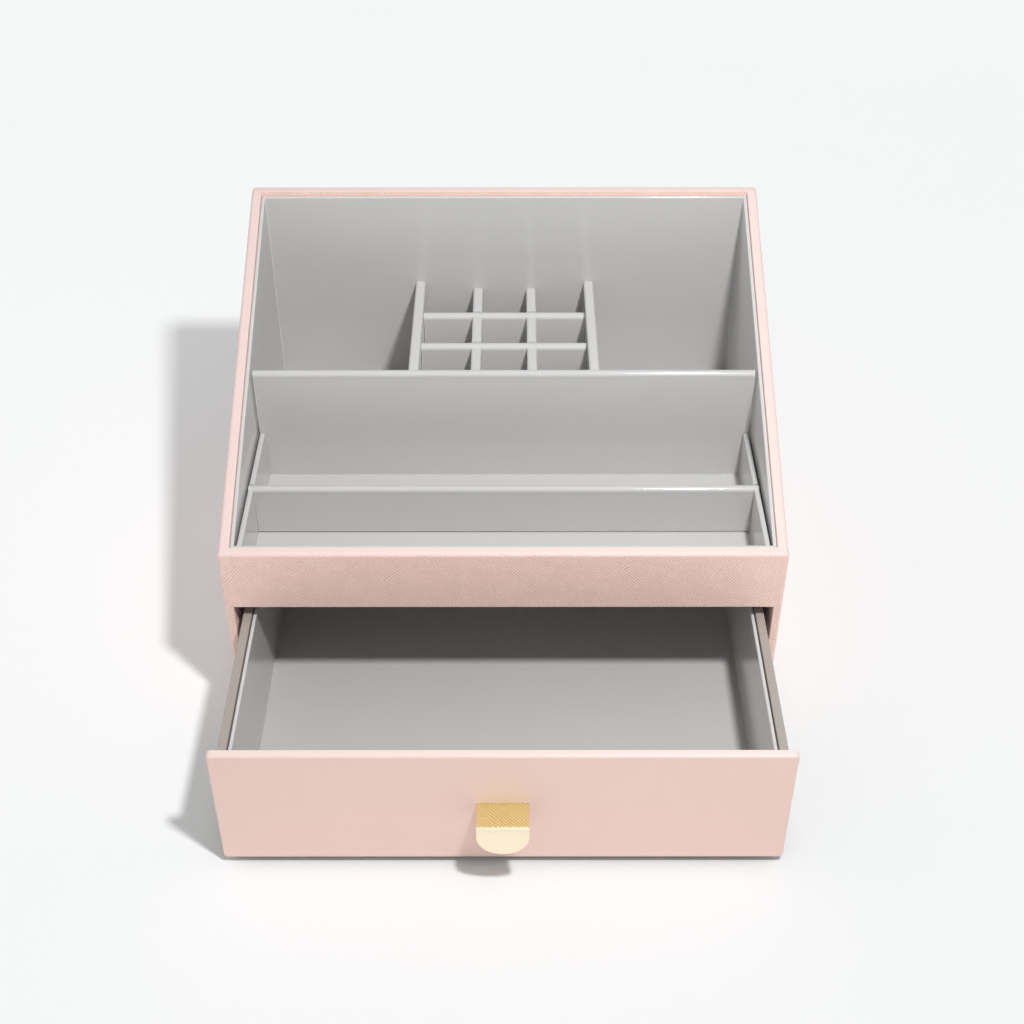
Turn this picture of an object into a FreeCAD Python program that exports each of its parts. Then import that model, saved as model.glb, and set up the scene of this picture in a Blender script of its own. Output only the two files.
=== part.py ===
import FreeCAD, Part
import math
import os

# Brush holder with drawer: a wrapped-board case with a tall back and sloping sides,
# a lined upper compartment with dividers and a brush grid, and a drawer below.
# Millimetres. +Z is up, the drawer opens towards -Y, and the origin is the centre
# of the case's footprint on the surface that it stands on.

# --- Case ---
case_width = 250.0
case_depth = 180.0
back_height = 184.4
front_height = 103.6
case_board = 4.8          # wrapped board of the sides, back and front band
case_edge_round = 1.6     # outer edges of the wrap
rim_inner_round = 0.5     # inner edges of the rim and of the drawer opening
felt_thickness = 0.8
felt_inset = 3.0          # from the case's outer faces to the edge of the felt
base_thickness = 2.4
bay_height = 68.0         # clear height of the drawer bay
bay_relief = 0.8          # depth planed off each side panel where the drawer runs
deck_thickness = 2.4

# --- Lining of the upper compartment ---
liner_thickness = 1.7
liner_gap = 0.1           # glue line between lining and case
liner_recess_back = 2.5   # top of the back lining below the back rim
liner_recess_front = 0.6  # top of the front lining below the front rim
liner_edge_round = 0.6

# --- Dividers and trays ---
divider_thickness = 4.0
divider_end_gap = 0.8     # between a divider's or tray board's side and the lining
divider_round = 1.9
tall_divider_height = 62.0
rear_depth = 82.3         # from the back lining to the tall divider
middle_tray_depth = 37.9
tray_height = 26.7        # of the low divider's top and the tray sides, above the floor
tray_side_thickness = 2.4
tray_side_round = 0.8
tray_end_gap = 0.2        # from a tray side's ends to the lining and the tall divider
lap_clearance = 0.15      # each side of a cross-lap slot
low_divider_lift = 0.9    # gap under the low divider

# --- Brush grid ---
grid_width = 91.0
grid_board = 4.9
grid_wall_height = 57.3
grid_divider_height = 53.1
grid_centre_cell = 22.3   # width of the middle column
grid_rear_cell = 21.1     # depth of the rear row
grid_middle_cell = 21.7   # depth of the middle row
grid_round = 1.2
crossbar_round = 2.1
grid_end_gap = 0.3

# --- Drawer ---
drawer_open = 83.5        # how far the drawer stands open at rest
front_thickness = 3.4
front_side_gap = 0.4      # between the drawer front and the opening, left and right
front_top_gap = 0.8
front_edge_round = 1.2    # edges of the drawer front's face
front_corner_round = 1.8  # its four corners, seen from in front
guide_setback = 18.0      # from the opening back to the guides, where the wrap is turned in
running_gap = 0.3         # under the drawer
guide_clearance = 0.4     # between a guide and the drawer's side
guide_thickness = 2.8
drawer_rear_gap = 1.2     # behind the drawer when it is shut
drawer_wall = 3.8
drawer_wall_round = 0.4
drawer_side_drop = 6.0    # drawer sides' top below the drawer front's top
drawer_bottom_thickness = 2.4
drawer_liner_thickness = 1.6
drawer_liner_side_gap = 0.4
drawer_liner_front_gap = 2.4
drawer_liner_drop = 1.2   # lining's top below the drawer sides' top

# --- Pull tab ---
tab_width = 21.8
tab_thickness = 1.2
tab_reach = 13.4          # from the drawer front to the tab's outer face
tab_drop = 15.8           # from the tab's top face to its lowest point
tab_rise = 36.8           # from the drawer front's lower edge to the tab's top face
tab_bend = 2.2            # outer radius of each bend
tab_tail = 12.0           # height of the tail behind the front
tab_tail_corner = 3.0
tab_slot_clearance = 0.15
rivet_radius = 1.2
rivet_head_radius = 2.3
rivet_head_height = 0.7
rivet_depth = 2.0         # how far a rivet's shank goes into the front
rivet_spacing = 12.0

# --- Levels and places that follow from the sizes above ---
vector = FreeCAD.Vector
half_width = case_width / 2
half_depth = case_depth / 2
front_plane = -half_depth
inner_side = half_width - case_board
inner_back = half_depth - case_board
inner_front = -inner_back
bay_side = inner_side + bay_relief
bay_floor = felt_thickness + base_thickness
bay_roof = bay_floor + bay_height
deck_top = bay_roof + deck_thickness

liner_outer_side = inner_side - liner_gap
liner_inner_side = liner_outer_side - liner_thickness
liner_outer_back = inner_back - liner_gap
liner_inner_back = liner_outer_back - liner_thickness
liner_outer_front = -liner_outer_back
liner_inner_front = -liner_inner_back
floor_top = deck_top + liner_thickness
liner_top_back = back_height - liner_recess_back
liner_top_front = front_height - liner_recess_front

divider_side = liner_inner_side - divider_end_gap
tall_divider_rear = liner_inner_back - rear_depth
tall_divider_front = tall_divider_rear - divider_thickness
low_divider_rear = tall_divider_front - middle_tray_depth
low_divider_front = low_divider_rear - divider_thickness
tray_top = floor_top + tray_height
tray_lap = floor_top + tray_height / 2

drawer_floor = bay_floor + running_gap
drawer_front_top = bay_roof - front_top_gap
drawer_front_side = bay_side - front_side_gap
drawer_side_top = drawer_front_top - drawer_side_drop
drawer_outer_side = bay_side - guide_thickness - guide_clearance
drawer_inner_side = drawer_outer_side - drawer_wall
drawer_face = front_plane - drawer_open
drawer_front_back = drawer_face + front_thickness
drawer_end = inner_back - drawer_rear_gap - drawer_open
drawer_bottom_top = drawer_floor + drawer_bottom_thickness


def block(x_range, y_range, z_range):
    """A box between two values on each axis."""
    low = vector(x_range[0], y_range[0], z_range[0])
    high = vector(x_range[1], y_range[1], z_range[1])
    size = high - low
    return Part.makeBox(size.x, size.y, size.z, low)


def side_prism(outline, x_range):
    """A plate whose (y, z) outline is extruded along X."""
    points = [vector(x_range[0], y, z) for y, z in outline]
    face = Part.Face(Part.makePolygon(points + points[:1]))
    return face.extrude(vector(x_range[1] - x_range[0], 0, 0))


def front_prism(outline, y_range):
    """A plate whose (x, z) outline is extruded along Y."""
    points = [vector(x, y_range[0], z) for x, z in outline]
    face = Part.Face(Part.makePolygon(points + points[:1]))
    return face.extrude(vector(0, y_range[1] - y_range[0], 0))


def rounded(shape, radius, chosen):
    """Fillet the straight edges for which chosen(middle point, direction) is true."""
    picked = []
    for edge in shape.Edges:
        start = edge.Vertexes[0].Point
        end = edge.Vertexes[-1].Point
        chord = end - start
        straight = chord.Length > 0.9999 * edge.Length and chord.Length > 0.01
        if straight and chosen((start + end) / 2, chord.normalize()):
            picked.append(edge)
    return shape.makeFillet(radius, picked)


def near(value, target):
    return abs(value - target) < 0.001


def mirrored(shape):
    """The same piece on the other side of the case."""
    return shape.mirror(vector(0, 0, 0), vector(1, 0, 0))


# --- Case ---

def side_panel():
    """The right side: the corners and the ends of the rim belong to it."""
    outline = [
        (-half_depth, felt_thickness),
        (half_depth, felt_thickness),
        (half_depth, back_height),
        (inner_back, back_height),
        (inner_front, front_height),
        (-half_depth, front_height),
    ]
    panel = side_prism(outline, (inner_side, half_width))

    def on_outside(middle, way):
        at_side = near(middle.x, half_width)
        at_end = near(abs(middle.y), half_depth)
        in_rim = middle.z > front_height - 1
        return (at_side and at_end) or (in_rim and (at_side or at_end))

    panel = rounded(panel, case_edge_round, on_outside)
    relief = block((inner_side - 1, bay_side), (front_plane - 1, inner_back), (bay_floor, bay_roof))
    panel = panel.cut(relief)

    def on_opening(middle, way):
        upright = near(middle.x, bay_side) and abs(way.z) > 0.9
        lintel = near(middle.z, bay_roof) and abs(way.x) > 0.9
        return near(middle.y, front_plane) and (upright or lintel)

    return rounded(panel, rim_inner_round, on_opening).cut(slope_rounding())


def slope_rounding():
    """What is cut from the side panel to soften the inner edge of its slope."""
    radius = rim_inner_round
    run = vector(0, inner_back - inner_front, back_height - front_height)
    strip = block((-1, radius), (-1, run.Length + 1), (-radius, 1))
    rod = Part.makeCylinder(radius, run.Length + 2, vector(radius, -1, -radius), vector(0, 1, 0))
    strip = strip.cut(rod)
    strip.rotate(vector(0, 0, 0), vector(1, 0, 0), math.degrees(math.atan2(run.z, run.y)))
    strip.translate(vector(inner_side, inner_front, front_height))
    return strip.common(block((0, case_width), (inner_front, inner_back), (0, back_height + 1)))


def back_panel():
    board = block((-inner_side, inner_side), (inner_back, half_depth), (felt_thickness, back_height))
    return rim_rounded(board, back_height, half_depth, inner_back)


def front_band():
    board = block((-inner_side, inner_side), (front_plane, inner_front), (bay_roof, front_height))
    board = rim_rounded(board, front_height, front_plane, inner_front)
    return rounded(
        board, rim_inner_round, lambda middle, way: near(middle.z, bay_roof) and near(middle.y, front_plane)
    )


def rim_rounded(board, top, outer_face, inner_face):
    """Soften a board's top along its outer face and, less, along its inner face."""

    def top_edge(face):
        return lambda middle, way: near(middle.z, top) and near(middle.y, face)

    board = rounded(board, case_edge_round, top_edge(outer_face))
    return rounded(board, rim_inner_round, top_edge(inner_face))


def bay_deck():
    return block((-inner_side, inner_side), (inner_front, inner_back), (bay_roof, deck_top))


def base_board():
    return block((-inner_side, inner_side), (front_plane, inner_back), (felt_thickness, bay_floor))


def base_felt():
    across = half_width - felt_inset
    along = half_depth - felt_inset
    return block((-across, across), (-along, along), (0, felt_thickness))


def bay_guide():
    """A board along the bay's side that guides the drawer."""
    near_end = front_plane + guide_setback
    return block((bay_side - guide_thickness, bay_side), (near_end, inner_back), (bay_floor, bay_roof))


# --- Lining ---

def liner_side():
    outline = [
        (liner_outer_front, floor_top),
        (liner_outer_back, floor_top),
        (liner_outer_back, liner_top_back),
        (liner_inner_back, liner_top_back),
        (liner_inner_front, liner_top_front),
        (liner_outer_front, liner_top_front),
    ]
    board = side_prism(outline, (liner_inner_side, liner_outer_side))

    def on_top(middle, way):
        return middle.z > liner_top_front - 0.01 and abs(way.y) > 0.5

    return rounded(board, liner_edge_round, on_top)


def liner_end(y_range, top):
    """The back or front lining, between the two side linings."""
    board = block((-liner_inner_side, liner_inner_side), y_range, (floor_top, top))
    return rounded(board, liner_edge_round, lambda middle, way: near(middle.z, top) and abs(way.x) > 0.9)


def liner_floor():
    return block(
        (-liner_outer_side, liner_outer_side), (liner_outer_front, liner_outer_back), (deck_top, floor_top)
    )


# --- Dividers and trays ---

def tall_divider():
    board = block(
        (-divider_side, divider_side),
        (tall_divider_front, tall_divider_rear),
        (floor_top, floor_top + tall_divider_height),
    )
    return rounded(
        board,
        divider_round,
        lambda middle, way: middle.z > floor_top + tall_divider_height - 0.01 and abs(way.x) > 0.9,
    )


def low_divider():
    """Its upper half reaches into the slots of the tray sides and hangs there."""
    shoulder = divider_side - tray_side_thickness - lap_clearance
    foot = floor_top + low_divider_lift
    outline = [
        (-shoulder, foot),
        (shoulder, foot),
        (shoulder, tray_lap),
        (divider_side, tray_lap),
        (divider_side, tray_top),
        (-divider_side, tray_top),
        (-divider_side, tray_lap),
        (-shoulder, tray_lap),
    ]
    board = front_prism(outline, (low_divider_front, low_divider_rear))
    return rounded(
        board, divider_round, lambda middle, way: near(middle.z, tray_top) and abs(way.x) > 0.9
    )


def tray_side():
    """One board along both trays, slotted from above for the low divider."""
    board = block(
        (divider_side - tray_side_thickness, divider_side),
        (liner_inner_front + tray_end_gap, tall_divider_front - tray_end_gap),
        (floor_top, tray_top),
    )
    board = rounded(board, tray_side_round, lambda middle, way: near(middle.z, tray_top))
    slot = block(
        (divider_side - tray_side_thickness - 1, divider_side + 1),
        (low_divider_front - lap_clearance, low_divider_rear + lap_clearance),
        (tray_lap, tray_top + 1),
    )
    return board.cut(slot)


# --- Brush grid ---

grid_side = grid_width / 2
grid_inner_side = grid_side - grid_board
grid_near_end = tall_divider_rear + grid_end_gap
grid_far_end = liner_inner_back - grid_end_gap
grid_top = floor_top + grid_divider_height
grid_lap = floor_top + grid_divider_height / 2
grid_divider_centre = (grid_centre_cell + grid_board) / 2
rear_bar_rear = liner_inner_back - grid_rear_cell
front_bar_rear = rear_bar_rear - grid_board - grid_middle_cell
bar_places = {
    "brush_crossbar_rear": (rear_bar_rear - grid_board, rear_bar_rear),
    "brush_crossbar_front": (front_bar_rear - grid_board, front_bar_rear),
}


def grid_plate(x_range, top):
    """A fore-and-aft board with a softened top and softened far corners."""
    board = block(x_range, (grid_near_end, grid_far_end), (floor_top, top))

    def softened(middle, way):
        long_top = near(middle.z, top) and abs(way.y) > 0.9
        far_corner = near(middle.y, grid_far_end) and abs(way.z) > 0.9
        return long_top or far_corner

    return rounded(board, grid_round, softened)


def brush_wall():
    return grid_plate((grid_inner_side, grid_side), floor_top + grid_wall_height)


def brush_divider():
    """Slotted from above to half its height where each crossbar drops in."""
    centre = grid_divider_centre
    board = grid_plate((centre - grid_board / 2, centre + grid_board / 2), grid_top)
    for place in bar_places.values():
        slot = block(
            (centre - grid_board, centre + grid_board),
            (place[0] - lap_clearance, place[1] + lap_clearance),
            (grid_lap, grid_top + 1),
        )
        board = board.cut(slot)
    return board


def brush_crossbar(place):
    """Slotted from below to half its height where it drops over each divider."""
    across = grid_inner_side - lap_clearance
    board = block((-across, across), place, (floor_top, grid_top))
    board = rounded(board, crossbar_round, lambda middle, way: near(middle.z, grid_top) and abs(way.x) > 0.9)
    for centre in (-grid_divider_centre, grid_divider_centre):
        slot = block(
            (centre - grid_board / 2 - lap_clearance, centre + grid_board / 2 + lap_clearance),
            (place[0] - 1, place[1] + 1),
            (floor_top - 1, grid_lap),
        )
        board = board.cut(slot)
    return board


# --- Drawer ---

tab_top = drawer_floor + tab_rise
tab_bottom = tab_top - tab_drop
tab_face = drawer_face - tab_reach
tail_top = tab_top - tab_thickness + tab_tail
rivet_level = tail_top - tab_tail / 2 + tab_thickness


def face_rounded(board):
    """Fillet all round the face of the drawer front, corners included."""
    edges = [edge for edge in board.Edges if near(edge.BoundBox.YMax, drawer_face)]
    return board.makeFillet(front_edge_round, edges)


def drawer_front():
    board = block(
        (-drawer_front_side, drawer_front_side),
        (drawer_face, drawer_front_back),
        (drawer_floor, drawer_front_top),
    )
    board = rounded(board, front_corner_round, lambda middle, way: abs(way.y) > 0.9)
    board = face_rounded(board)
    slot_side = tab_width / 2 + tab_slot_clearance
    slot = block(
        (-slot_side, slot_side),
        (drawer_face - 1, drawer_front_back + 1),
        (tab_top - tab_thickness - tab_slot_clearance, tab_top + tab_slot_clearance),
    )
    board = board.cut(slot)
    for x in (-rivet_spacing / 2, rivet_spacing / 2):
        hole = Part.makeCylinder(
            rivet_radius, rivet_depth, vector(x, drawer_front_back, rivet_level), vector(0, -1, 0)
        )
        board = board.cut(hole)
    return board


def drawer_side():
    board = block(
        (drawer_inner_side, drawer_outer_side),
        (drawer_front_back, drawer_end),
        (drawer_floor, drawer_side_top),
    )
    return rounded(
        board, drawer_wall_round, lambda middle, way: near(middle.z, drawer_side_top) and abs(way.y) > 0.9
    )


def drawer_back():
    board = block(
        (-drawer_inner_side, drawer_inner_side),
        (drawer_end - drawer_wall, drawer_end),
        (drawer_floor, drawer_side_top),
    )
    return rounded(
        board, drawer_wall_round, lambda middle, way: near(middle.z, drawer_side_top) and abs(way.x) > 0.9
    )


def drawer_bottom():
    return block(
        (-drawer_inner_side, drawer_inner_side),
        (drawer_front_back, drawer_end - drawer_wall),
        (drawer_floor, drawer_bottom_top),
    )


def drawer_liner():
    """Five lining boards: the floor, and four walls that stand on it."""
    side = drawer_inner_side - drawer_liner_side_gap
    near_end = drawer_front_back + drawer_liner_front_gap
    far_end = drawer_end - drawer_wall - drawer_liner_side_gap
    low = drawer_bottom_top + drawer_liner_thickness
    top = drawer_side_top - drawer_liner_drop
    inner = side - drawer_liner_thickness
    walls = {
        "drawer_liner_right": block((inner, side), (near_end, far_end), (low, top)),
        "drawer_liner_front": block(
            (-inner, inner), (near_end, near_end + drawer_liner_thickness), (low, top)
        ),
        "drawer_liner_back": block(
            (-inner, inner), (far_end - drawer_liner_thickness, far_end), (low, top)
        ),
    }
    pieces = {}
    for name, wall in walls.items():
        long_way = "y" if name == "drawer_liner_right" else "x"

        def on_top(middle, way):
            return near(middle.z, top) and abs(getattr(way, long_way)) > 0.9

        pieces[name] = rounded(wall, liner_edge_round, on_top)
    pieces["drawer_liner_left"] = mirrored(pieces["drawer_liner_right"])
    pieces["drawer_liner_floor"] = block((-side, side), (near_end, far_end), (drawer_bottom_top, low))
    return pieces


# --- Pull tab ---

def pull_tab():
    """One bent strip: a tail up behind the front, a shelf through it, and a round-ended face."""
    back_face = drawer_front_back + tab_thickness
    outline = [
        (tab_face, tab_bottom),
        (tab_face, tab_top),
        (drawer_front_back, tab_top),
        (drawer_front_back, tail_top),
        (back_face, tail_top),
        (back_face, tab_top - tab_thickness),
        (tab_face + tab_thickness, tab_top - tab_thickness),
        (tab_face + tab_thickness, tab_bottom),
    ]
    strip = side_prism(outline, (-tab_width / 2, tab_width / 2))

    def bend_edge(y, z):
        return lambda middle, way: near(middle.y, y) and near(middle.z, z) and abs(way.x) > 0.9

    inner_bend = tab_bend - tab_thickness
    strip = rounded(strip, tab_bend, bend_edge(tab_face, tab_top))
    strip = rounded(strip, inner_bend, bend_edge(tab_face + tab_thickness, tab_top - tab_thickness))
    strip = rounded(strip, inner_bend, bend_edge(back_face, tab_top - tab_thickness))

    def tail_corner(middle, way):
        return near(middle.z, tail_top) and abs(way.y) > 0.9

    strip = rounded(strip, tab_tail_corner, tail_corner)
    return strip.cut(below_round_end())


def below_round_end():
    """What is cut from the tab's face to leave its lower end half round."""
    radius = tab_width / 2
    centre = tab_bottom + radius
    depth_range = (tab_face - 1, tab_face + tab_thickness + 1)
    corners = block((-radius - 1, radius + 1), depth_range, (tab_bottom - 1, centre))
    disc = Part.makeCylinder(
        radius, depth_range[1] - depth_range[0], vector(0, depth_range[0], centre), vector(0, 1, 0)
    )
    return corners.cut(disc)


def pull_tab_with_holes():
    tab = pull_tab()
    for x in (-rivet_spacing / 2, rivet_spacing / 2):
        hole = Part.makeCylinder(
            rivet_radius, tab_thickness + 2, vector(x, drawer_front_back - 1, rivet_level), vector(0, 1, 0)
        )
        tab = tab.cut(hole)
    return tab


def pull_tab_rivets():
    rivets = []
    tail_back = drawer_front_back + tab_thickness
    for x in (-rivet_spacing / 2, rivet_spacing / 2):
        shank = Part.makeCylinder(
            rivet_radius,
            rivet_depth + tab_thickness,
            vector(x, drawer_front_back - rivet_depth, rivet_level),
            vector(0, 1, 0),
        )
        head = Part.makeCylinder(
            rivet_head_radius, rivet_head_height, vector(x, tail_back, rivet_level), vector(0, 1, 0)
        )
        rivets.append(shank.fuse(head).removeSplitter())
    return Part.makeCompound(rivets)


# --- All pieces ---

def all_pieces():
    pieces = {}
    pieces["side_panel_right"] = side_panel()
    pieces["side_panel_left"] = mirrored(side_panel())
    pieces["back_panel"] = back_panel()
    pieces["front_band"] = front_band()
    pieces["bay_deck"] = bay_deck()
    pieces["base_board"] = base_board()
    pieces["base_felt"] = base_felt()
    pieces["bay_guide_right"] = bay_guide()
    pieces["bay_guide_left"] = mirrored(bay_guide())
    pieces["liner_floor"] = liner_floor()
    pieces["liner_right"] = liner_side()
    pieces["liner_left"] = mirrored(liner_side())
    pieces["liner_back"] = liner_end((liner_inner_back, liner_outer_back), liner_top_back)
    pieces["liner_front"] = liner_end((liner_outer_front, liner_inner_front), liner_top_front)
    pieces["tall_divider"] = tall_divider()
    pieces["low_divider"] = low_divider()
    pieces["tray_side_right"] = tray_side()
    pieces["tray_side_left"] = mirrored(tray_side())
    pieces["brush_wall_right"] = brush_wall()
    pieces["brush_wall_left"] = mirrored(brush_wall())
    pieces["brush_divider_right"] = brush_divider()
    pieces["brush_divider_left"] = mirrored(brush_divider())
    for name, place in bar_places.items():
        pieces[name] = brush_crossbar(place)
    pieces["drawer_front"] = drawer_front()
    pieces["drawer_side_right"] = drawer_side()
    pieces["drawer_side_left"] = mirrored(drawer_side())
    pieces["drawer_back"] = drawer_back()
    pieces["drawer_bottom"] = drawer_bottom()
    pieces.update(drawer_liner())
    pieces["pull_tab"] = pull_tab_with_holes()
    pieces["pull_tab_rivets"] = pull_tab_rivets()
    return pieces


os.makedirs("parts", exist_ok=True)
for name, piece in all_pieces().items():
    piece.exportStep("parts/" + name + ".step")
    print(name, round(piece.Volume), "mm3", len(piece.Solids), "solid", piece.isValid())
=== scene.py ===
import math

import bpy
from mathutils import Matrix, Vector


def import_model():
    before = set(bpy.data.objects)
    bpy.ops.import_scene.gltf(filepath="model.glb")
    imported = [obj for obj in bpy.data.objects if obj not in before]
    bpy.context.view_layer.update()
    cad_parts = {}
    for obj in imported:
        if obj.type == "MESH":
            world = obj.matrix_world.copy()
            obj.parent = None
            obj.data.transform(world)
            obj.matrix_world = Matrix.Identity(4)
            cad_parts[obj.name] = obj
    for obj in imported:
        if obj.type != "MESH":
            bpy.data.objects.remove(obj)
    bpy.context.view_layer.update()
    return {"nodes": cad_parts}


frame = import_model()
nodes = frame["nodes"]

# --- Camera: where the photograph was taken from, in metres and degrees ---
CAMERA_PLACE = Vector((0.00424, -0.57033, 0.55621))
CAMERA_YAW, CAMERA_PITCH, CAMERA_ROLL = -0.04, 37.45, -0.06
FOCAL_PIXELS = 1508.5
CENTRE_ROW = 400.0  # picture row that the lens looks at
PICTURE = 1024  # width and height of the picture in pixels
SENSOR_WIDTH = 36.0  # millimetres
CLIP_START = 0.05

# --- Light: metres and watts, and levels of which 1 is white ---
KEY_PLACE = Vector((0.166, -0.373, 0.753))
KEY_RADIUS = 0.028
KEY_POWER = 17.0
FLOOR_KEY_POWER = 20.0  # the lamp at the same place that lights the floor alone
WORLD_LEVEL = 0.39
WORLD_LEAN = 0.45  # how much brighter the left is than the middle, and how much darker the right
BACKDROP_LEVEL = 0.93  # tone of the lit floor and of what is behind it

# --- Floor ---
FLOOR_REACH = 6.0  # metres from the middle to each side
FLOOR_BOUNCE = 1.2  # brightness of the lit floor as it throws light back on the object
FLOOR_BOUNCE_LEVEL = 0.95  # light below which the floor throws back less than that
FLOOR_GLOW = 0.15  # part of the floor's tone that a shadow leaves
FLOOR_RED, FLOOR_BLUE = 0.98, 1.005  # share of these in the floor's tone, beside 1 for green
GAP_SHADE_REACH = 0.018  # how near a thing above the floor must be for painted shade to darken it, in metres
GAP_SHADE_TONE = 0.6  # share of the floor's tone that painted shade leaves in a narrow gap

# --- Surfaces: sizes in metres ---
FACING_HALFWAY = 0.707  # part of a normal along an axis, at 45 degrees to it
EDGE_RADIUS = 0.0012  # width of the painted highlight along an edge
LEATHER_LINES = 0.00112  # from one pressed line to the next
LEDGE_LINES = 0.00105  # from one drawn line to the next on the gold ledge
LINE_WANDER = 0.0055  # how far a bend takes a line aside


# --- Node building ---


class Nodes:
    """Adds shader nodes to one material or world, and links them."""

    def __init__(self, tree):
        self.tree = tree
        tree.nodes.clear()

    def add(self, kind, inputs=None, **settings):
        node = self.tree.nodes.new(kind)
        for name, value in settings.items():
            setattr(node, name, value)
        for name, value in (inputs or {}).items():
            self.put(node.inputs[name], value)
        return node

    def put(self, socket, value):
        if isinstance(value, bpy.types.NodeSocket):
            self.tree.links.new(value, socket)
        else:
            socket.default_value = value

    def math(self, operation, a, b=0.0, c=0.0):
        node = self.add("ShaderNodeMath", {0: a, 1: b, 2: c}, operation=operation)
        return node.outputs[0]

    def mix(self, share, a, b):
        """Between two numbers."""
        node = self.add("ShaderNodeMix", {"Factor": share}, data_type="FLOAT")
        self.put(node.inputs[2], a)
        self.put(node.inputs[3], b)
        return node.outputs[0]

    def blend(self, share, a, b):
        """Between two colours."""
        node = self.add("ShaderNodeMix", {"Factor": share}, data_type="RGBA")
        self.put(node.inputs[6], a)
        self.put(node.inputs[7], b)
        return node.outputs[2]

    def spread(self, value, low, high, to_low=0.0, to_high=1.0):
        """Moves a value from one range to another, clamped and smooth at both ends."""
        ranges = {"From Min": low, "From Max": high, "To Min": to_low, "To Max": to_high}
        node = self.add(
            "ShaderNodeMapRange",
            {"Value": value, **ranges},
            interpolation_type="SMOOTHSTEP",
        )
        return node.outputs[0]

    def noise(self, where, scale, detail=2.0, roughness=0.5):
        node = self.add(
            "ShaderNodeTexNoise",
            {"Vector": where, "Scale": scale, "Detail": detail, "Roughness": roughness},
        )
        return node.outputs["Fac"]

    def stretched(self, where, scale):
        return self.add("ShaderNodeMapping", {"Vector": where, "Scale": scale}).outputs[0]

    def object_place(self):
        return self.add("ShaderNodeTexCoord").outputs["Object"]

    def bump(self, height, strength, distance):
        inputs = {"Strength": strength, "Distance": distance, "Height": height}
        return self.add("ShaderNodeBump", inputs).outputs[0]

    def surface(self, tone, roughness, normal, **more):
        """The material's shader. An underscore in a name of more stands for a space."""
        inputs = {"Base Color": tone, "Roughness": roughness, "Normal": normal}
        inputs.update({name.replace("_", " "): value for name, value in more.items()})
        shader = self.add("ShaderNodeBsdfPrincipled", inputs)
        self.add("ShaderNodeOutputMaterial", {0: shader.outputs[0]})


def srgb(red, green, blue):
    """A colour written as 0 to 255 screen values."""

    def linear(value):
        share = value / 255
        return share / 12.92 if share <= 0.04045 else ((share + 0.055) / 1.055) ** 2.4

    return (linear(red), linear(green), linear(blue), 1.0)


def new_material(name):
    made = bpy.data.materials.new(name)
    made.use_nodes = True
    return made, Nodes(made.node_tree)


def flat_on_face(n):
    """Position along the face that a point lies on, and how far up that face looks, from 0 to 1.

    It is x, z in front, y, z at a side and x, y on top.
    """
    place = n.add("ShaderNodeSeparateXYZ", {0: n.object_place()})
    facing = n.add("ShaderNodeTexCoord").outputs["Normal"]
    facing = n.add("ShaderNodeVectorMath", {0: facing}, operation="ABSOLUTE").outputs[0]
    facing = n.add("ShaderNodeSeparateXYZ", {0: facing})
    to_side = n.math("GREATER_THAN", facing.outputs["X"], FACING_HALFWAY)
    to_top = n.math("GREATER_THAN", facing.outputs["Z"], FACING_HALFWAY)
    across = n.mix(to_side, place.outputs["X"], place.outputs["Y"])
    along = n.mix(to_top, place.outputs["Z"], place.outputs["Y"])
    return across, along, facing.outputs["Z"]


def edge_highlight_share(n):
    """Where a painted highlight goes: 1 at an edge that sticks out or in, 0 on a flat face."""
    soft = n.add("ShaderNodeBevel", {"Radius": EDGE_RADIUS}, samples=4).outputs[0]
    true = n.add("ShaderNodeNewGeometry").outputs["Normal"]
    agree = n.add("ShaderNodeVectorMath", {0: soft, 1: true}, operation="DOT_PRODUCT")
    return n.spread(agree.outputs["Value"], 0.99, 0.85)


# --- Materials ---

# Two tones of one blush leather, as painted light: the case's is lighter for its shaded band,
# the drawer front's darker for the floor's light thrown on it
BLUSH_CASE_LIGHTENED = (srgb(255, 224, 214), srgb(255, 227, 218))
BLUSH_FRONT_DARKENED = (srgb(231, 199, 189), srgb(233, 202, 192))
# painted shade in the pressed lines of the grain
BLUSH_GROOVE_SHADE = srgb(222, 170, 156)
BLUSH_SHADED_SLOPE = srgb(236, 211, 206)  # painted shade with a paler painted sheen, on faces that look up at a slant
BLUSH_SHADED_TOP = srgb(241, 219, 212)  # painted shade with a paler painted sheen, on faces that look straight up
# painted highlight along the leather's edges
BLUSH_EDGE_HIGHLIGHT = srgb(248, 226, 219)
LINING = (srgb(203, 202, 201), srgb(208, 207, 206))
# painted light: a lighter copy of the lining for the brush grid, which stands in shade at the
# back
GRID_LINING_LIGHTENED = (srgb(211, 210, 209), srgb(216, 215, 214))
LINING_SPECK = srgb(193, 192, 191)
# painted highlight along the lining's edges
LINING_EDGE_HIGHLIGHT = srgb(240, 240, 239)
TAUPE = (srgb(174, 168, 161), srgb(160, 153, 146))
DARK_BAY = (srgb(40, 37, 36), srgb(30, 28, 27))
GOLD_POLISHED = (srgb(254, 239, 212), srgb(255, 242, 216))
# the up-facing ledge's tones: drawn lines, in a darker, warmer gold that is a painted reflection
# of the leather front
GOLD_LEDGE_LINES_AND_REFLECTION = (srgb(226, 211, 137), srgb(255, 250, 200))
FELT = (srgb(70, 66, 64), srgb(112, 106, 102))


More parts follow.
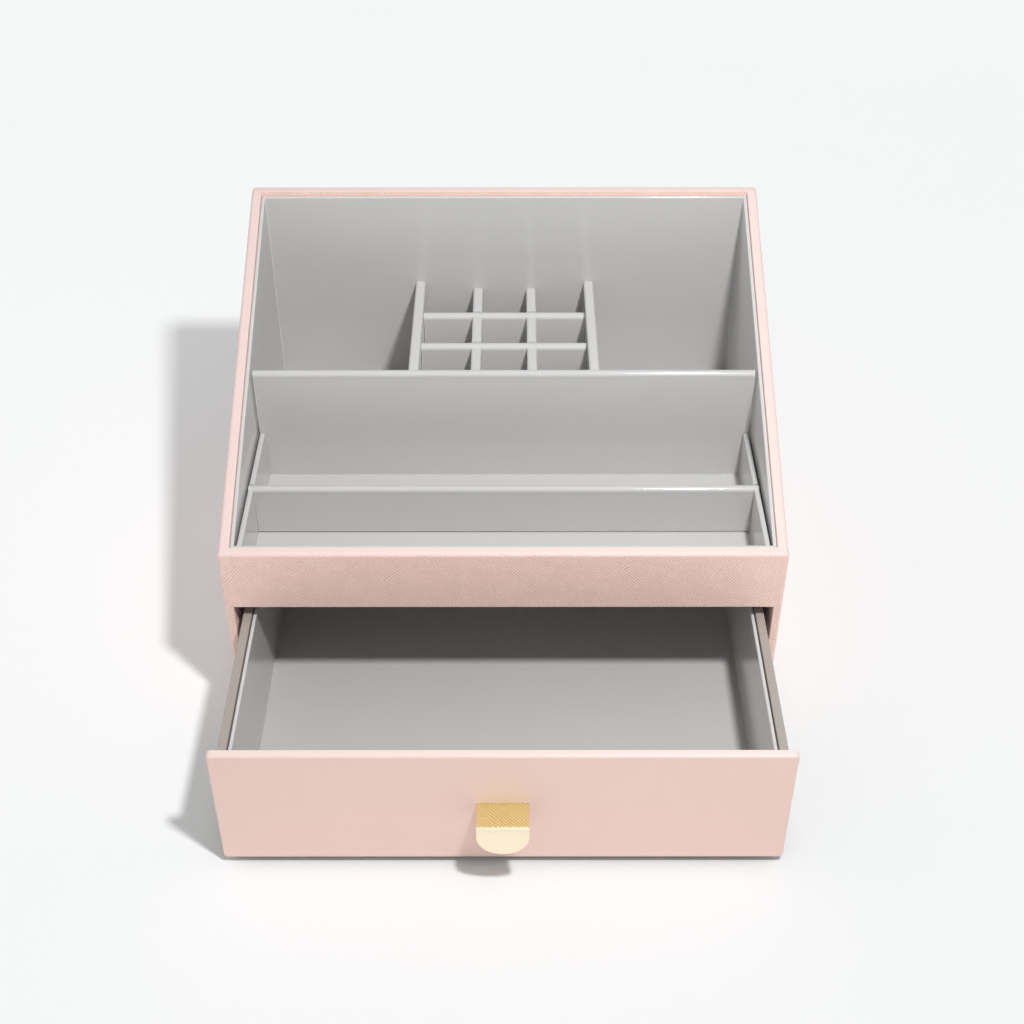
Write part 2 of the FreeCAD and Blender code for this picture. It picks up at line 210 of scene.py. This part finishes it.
def hatch(n, where, across, along, spacing):
    """Fine slanting lines that lean one way or the other by patches, bent like a fingerprint."""
    bend = n.noise(where, scale=70.0, detail=1.0)
    bend = n.math("MULTIPLY", n.math("SUBTRACT", bend, 0.5), LINE_WANDER)
    turn = 2 * math.pi / spacing * math.sqrt(0.5)

    def lines(direction):
        along_line = n.math("MULTIPLY_ADD", along, direction, across)
        return n.math("SINE", n.math("MULTIPLY", n.math("ADD", along_line, bend), turn))

    patch = n.spread(n.noise(where, scale=85.0, detail=0.0), 0.42, 0.58)
    press = n.noise(where, scale=240.0, detail=3.0, roughness=0.65)
    press = n.spread(press, 0.36, 0.6, to_low=0.25, to_high=0.55)
    breaks = n.noise(where, scale=1100.0, detail=2.0)
    return n.math("MULTIPLY_ADD", n.mix(patch, lines(1.0), lines(-1.0)), press, breaks)


def leatherette(name, tones, grain, depth, rough):
    """Blush cross-grain leatherette, with painted shade in a paler tone, as a painted sheen, on
    faces that look up.

    grain is how much painted shade darkens its pressed lines, depth how deep they are.
    """
    made, n = new_material(name)
    where = n.object_place()
    across, along, up = flat_on_face(n)
    lines = hatch(n, where, across, along, LEATHER_LINES)
    lines = n.math("MULTIPLY", lines, n.spread(up, 0.3, 0.8, to_low=1.0, to_high=0.4))
    pebble = n.noise(where, scale=1500.0, detail=1.0)
    height = n.math("MULTIPLY_ADD", pebble, 0.2, n.math("MULTIPLY", lines, 0.8))
    cloud = n.noise(where, scale=16.0, detail=3.0)
    tone = n.blend(cloud, *tones)
    # painted shade: the pressed lines take a darker tone, less of it on faces that look up
    groove_shade = n.spread(height, 0.2, 0.7, to_low=grain, to_high=0.0)
    groove_shade = n.math("MULTIPLY", groove_shade, n.spread(up, 0.3, 0.8, to_low=1.0, to_high=0.2))
    tone = n.blend(groove_shade, tone, BLUSH_GROOVE_SHADE)
    # painted shade and painted sheen: faces that look up take a darker, paler tone
    shaded_top_tone = n.blend(n.spread(up, 0.88, 0.98), BLUSH_SHADED_SLOPE, BLUSH_SHADED_TOP)
    tone = n.blend(n.spread(up, 0.15, 0.6), tone, shaded_top_tone)
    # painted highlight: edges take a paler tone
    tone = n.blend(n.math("MULTIPLY", edge_highlight_share(n), 0.5), tone, BLUSH_EDGE_HIGHLIGHT)
    n.surface(
        tone,
        n.spread(height, 0.1, 0.9, to_low=rough + 0.05, to_high=rough - 0.05),
        n.bump(height, strength=0.7, distance=depth),
        Specular_IOR_Level=0.4,
        Coat_Weight=0.1,
        Coat_Roughness=rough - 0.15,
        Sheen_Weight=0.1,
        Sheen_Roughness=0.4,
    )
    return made


def lining(name, tones):
    """High-gloss light grey lining board with a very faint orange-peel surface."""
    made, n = new_material(name)
    where = n.object_place()
    cloud = n.noise(where, scale=12.0, detail=3.0)
    tone = n.blend(cloud, *tones)
    speck = n.noise(where, scale=2600.0, detail=1.0)
    tone = n.blend(n.math("MULTIPLY", speck, 0.08), tone, LINING_SPECK)
    # painted highlight: edges take a near-white tone
    tone = n.blend(n.math("MULTIPLY", edge_highlight_share(n), 0.9), tone, LINING_EDGE_HIGHLIGHT)
    peel = n.noise(where, scale=260.0, detail=2.0)
    smear = n.noise(where, scale=45.0, detail=3.0)
    n.surface(
        tone,
        n.mix(smear, 0.07, 0.13),
        n.bump(peel, strength=0.12, distance=0.00003),
        Specular_IOR_Level=0.5,
    )
    return made


def board(name, tones, rough):
    """Paper-covered board with short fibres and a slight tooth."""
    made, n = new_material(name)
    where = n.object_place()
    streaked = n.stretched(where, (1.0, 0.5, 1.0))
    fibres = n.noise(streaked, scale=1100.0, detail=3.0, roughness=0.6)
    cloud = n.noise(where, scale=25.0, detail=3.0)
    base, fibre = tones
    tone = n.blend(n.math("MULTIPLY", fibres, 0.7), base, fibre)
    tone = n.blend(n.math("MULTIPLY", cloud, 0.15), tone, fibre)
    n.surface(
        tone,
        n.spread(fibres, 0.3, 0.7, to_low=rough - 0.08, to_high=rough + 0.08),
        n.bump(fibres, strength=0.3, distance=0.00008),
        Specular_IOR_Level=0.35,
    )
    return made


def gold(name):
    """Polished pale gold, with fine slanting lines drawn into the ledge that faces up, and the
    ledge's darker, warmer tone a painted reflection of the leather front above it.
    """
    made, n = new_material(name)
    where = n.object_place()
    across, along, up = flat_on_face(n)
    on_top = n.spread(up, 0.9, 0.99)
    lines = n.math("MULTIPLY", hatch(n, where, across, along, LEDGE_LINES), on_top)
    drawn = n.stretched(where, (0.06, 1.0, 1.0))
    brushed = n.noise(drawn, scale=3000.0, detail=3.0, roughness=0.6)
    smear = n.noise(where, scale=160.0, detail=3.0)
    polished = n.blend(smear, *GOLD_POLISHED)
    # drawn lines in a darker, warmer tone that paints the reflection of the leather front
    ledge_lines_and_reflection = n.blend(n.spread(lines, 0.2, 0.8), *GOLD_LEDGE_LINES_AND_REFLECTION)
    tone = n.blend(on_top, polished, ledge_lines_and_reflection)
    height = n.math("MULTIPLY_ADD", lines, 0.9, n.math("MULTIPLY", brushed, 0.1))
    n.surface(
        tone,
        n.mix(smear, 0.1, 0.15),
        n.bump(height, strength=0.3, distance=0.00003),
        Metallic=1.0,
    )
    return made


def felt(name):
    """Short dark wool felt."""
    made, n = new_material(name)
    fuzz = n.noise(n.object_place(), scale=1800.0, detail=5.0, roughness=0.7)
    tone = n.blend(n.spread(fuzz, 0.3, 0.75), *FELT)
    n.surface(tone, 0.95, n.bump(fuzz, strength=0.8, distance=0.0003), Sheen_Weight=0.3)
    return made


def dress(pieces):
    """Gives each piece of the frame its material."""
    # one leather in two tones, lighter on the case and darker on the front, as painted light
    case_leather = leatherette(
        "blush_leatherette_case", BLUSH_CASE_LIGHTENED, grain=0.7, depth=0.0002, rough=0.6
    )
    front_leather = leatherette(
        "blush_leatherette_front", BLUSH_FRONT_DARKENED, grain=0.06, depth=0.00003, rough=0.45
    )
    lightened_grid_lining = lining("grey_lining_grid_lightened", GRID_LINING_LIGHTENED)
    finish = {
        "blush_leatherette": case_leather,
        "grey_lining": lining("grey_lining", LINING),
        "taupe_board": board("taupe_board", TAUPE, rough=0.5),
        "dark_bay_lining": board("dark_bay_lining", DARK_BAY, rough=0.7),
        "gold_metal": gold("gold_metal"),
        "base_felt": felt("base_felt"),
    }
    for name, piece in pieces.items():
        slot = piece.material_slots[0]
        if name == "drawer_front":
            slot.material = front_leather
        # the brush grid takes the lighter copy of the lining, as painted light
        elif name.startswith("brush_"):
            slot.material = lightened_grid_lining
        else:
            slot.material = finish[slot.material.name.split(".")[0]]


# --- Floor, light and camera ---


def place_in_scene(name, data):
    made = bpy.data.objects.new(name, data)
    bpy.context.scene.collection.objects.link(made)
    return made


def lamp_level(power):
    """Brightness that a lamp gives a white floor right under it."""
    return power / (4 * math.pi**2 * KEY_PLACE.z**2)


def seen_by_eye(n):
    """1 for a camera, gloss or glass ray, 0 for the light thrown on things."""
    ray = n.add("ShaderNodeLightPath").outputs
    indirect = n.math("MAXIMUM", ray["Is Glossy Ray"], ray["Is Transmission Ray"])
    return n.math("MAXIMUM", ray["Is Camera Ray"], indirect)


def floor():
    """Plain floor, evenly pale wherever the lamp reaches it, with painted shade in narrow gaps.
    """
    mesh = bpy.data.meshes.new("floor")
    signs = ((-1, -1), (1, -1), (1, 1), (-1, 1))
    corners = [(x * FLOOR_REACH, y * FLOOR_REACH, 0) for x, y in signs]
    mesh.from_pydata(corners, [], [(0, 1, 2, 3)])
    made, n = new_material("floor")
    place = n.object_place()
    grain = n.noise(place, scale=3.0, detail=2.0)

    # A point lamp's light on a flat floor falls off as (1 + (distance / height)^2)^-1.5.
    below = (KEY_PLACE.x, KEY_PLACE.y, 0.0)
    offset = n.add("ShaderNodeVectorMath", {0: place, 1: below}, operation="DISTANCE")
    aside = n.math("DIVIDE", offset.outputs["Value"], KEY_PLACE.z)
    falloff = n.math("POWER", n.math("MULTIPLY_ADD", aside, aside, 1.0), -1.5)
    level = n.math("MULTIPLY_ADD", falloff, lamp_level(FLOOR_KEY_POWER), WORLD_LEVEL)

    seen = seen_by_eye(n)
    thrown = n.math("DIVIDE", FLOOR_BOUNCE, n.math("MAXIMUM", level, FLOOR_BOUNCE_LEVEL))
    shown = n.math("DIVIDE", BACKDROP_LEVEL - FLOOR_GLOW, level)
    tone = n.mix(seen, thrown, shown)
    tone = n.math("MULTIPLY", tone, n.spread(grain, 0.0, 1.0, to_low=0.99, to_high=1.01))
    # painted shade: the floor's tone and glow darken where something stands close above it
    open_above = n.add("ShaderNodeAmbientOcclusion", {"Distance": GAP_SHADE_REACH}).outputs["AO"]
    tone = n.math("MULTIPLY", tone, n.spread(open_above, 0.0, 0.8, to_low=GAP_SHADE_TONE))
    red = n.math("MULTIPLY", tone, FLOOR_RED)
    blue = n.math("MULTIPLY", tone, FLOOR_BLUE)
    paper = n.add("ShaderNodeCombineColor", {0: red, 1: tone, 2: blue}).outputs[0]
    paper = n.add("ShaderNodeBsdfDiffuse", {"Color": paper}).outputs[0]
    glow = n.math("MULTIPLY", n.math("MULTIPLY", seen, FLOOR_GLOW), open_above)
    glow = n.add("ShaderNodeEmission", {"Strength": glow}).outputs[0]
    both = n.add("ShaderNodeAddShader", {0: paper, 1: glow}).outputs[0]
    n.add("ShaderNodeOutputMaterial", {0: both})
    mesh.materials.append(made)
    plane = place_in_scene("floor", mesh)
    return plane


def key(name, power, ground, link_state):
    """The lamp, with the floor taken in or left out of what it lights."""
    lamp = bpy.data.lights.new(name, "POINT")
    lamp.energy = power
    lamp.shadow_soft_size = KEY_RADIUS
    made = place_in_scene(name, lamp)
    made.location = KEY_PLACE
    lit = bpy.data.collections.new(name + "_lights")
    lit.objects.link(ground)
    lit.collection_objects[0].light_linking.link_state = link_state
    made.light_linking.receiver_collection = lit


def world():
    """Light from all round, stronger from the left, which gloss and the camera see as even."""
    made = bpy.data.worlds.new("studio")
    made.use_nodes = True
    bpy.context.scene.world = made
    n = Nodes(made.node_tree)
    seen = seen_by_eye(n)
    aim = n.add("ShaderNodeSeparateXYZ", {0: n.add("ShaderNodeTexCoord").outputs["Generated"]})
    level = n.math("MULTIPLY_ADD", aim.outputs["X"], -WORLD_LEAN * WORLD_LEVEL, WORLD_LEVEL)
    strength = n.mix(seen, level, BACKDROP_LEVEL)
    sky = n.add("ShaderNodeBackground", {"Color": (1, 1, 1, 1), "Strength": strength})
    n.add("ShaderNodeOutputWorld", {0: sky.outputs[0]})


def camera():
    """The camera that took the photograph, with its off-centre framing."""
    yaw, pitch, roll = (math.radians(a) for a in (CAMERA_YAW, CAMERA_PITCH, CAMERA_ROLL))
    ahead = Vector((math.sin(yaw), math.cos(yaw), 0))
    forward = ahead * math.cos(pitch) - Vector((0, 0, math.sin(pitch)))
    level = Vector((math.cos(yaw), -math.sin(yaw), 0))
    upright = level.cross(forward)
    right = math.cos(roll) * level + math.sin(roll) * upright
    up = -math.sin(roll) * level + math.cos(roll) * upright
    lens = bpy.data.cameras.new("camera")
    lens.sensor_width = SENSOR_WIDTH
    lens.lens = FOCAL_PIXELS / PICTURE * SENSOR_WIDTH
    lens.shift_y = (CENTRE_ROW - PICTURE / 2) / PICTURE
    lens.clip_start = CLIP_START
    made = place_in_scene("camera", lens)
    turn = Matrix((right, up, -forward)).transposed()
    made.matrix_world = Matrix.Translation(CAMERA_PLACE) @ turn.to_4x4()
    bpy.context.scene.camera = made


dress(nodes)
ground = floor()
key("key", KEY_POWER, ground, "EXCLUDE")
key("key_floor", FLOOR_KEY_POWER, ground, "INCLUDE")
world()
camera()
bpy.context.scene.view_settings.view_transform = "Standard"
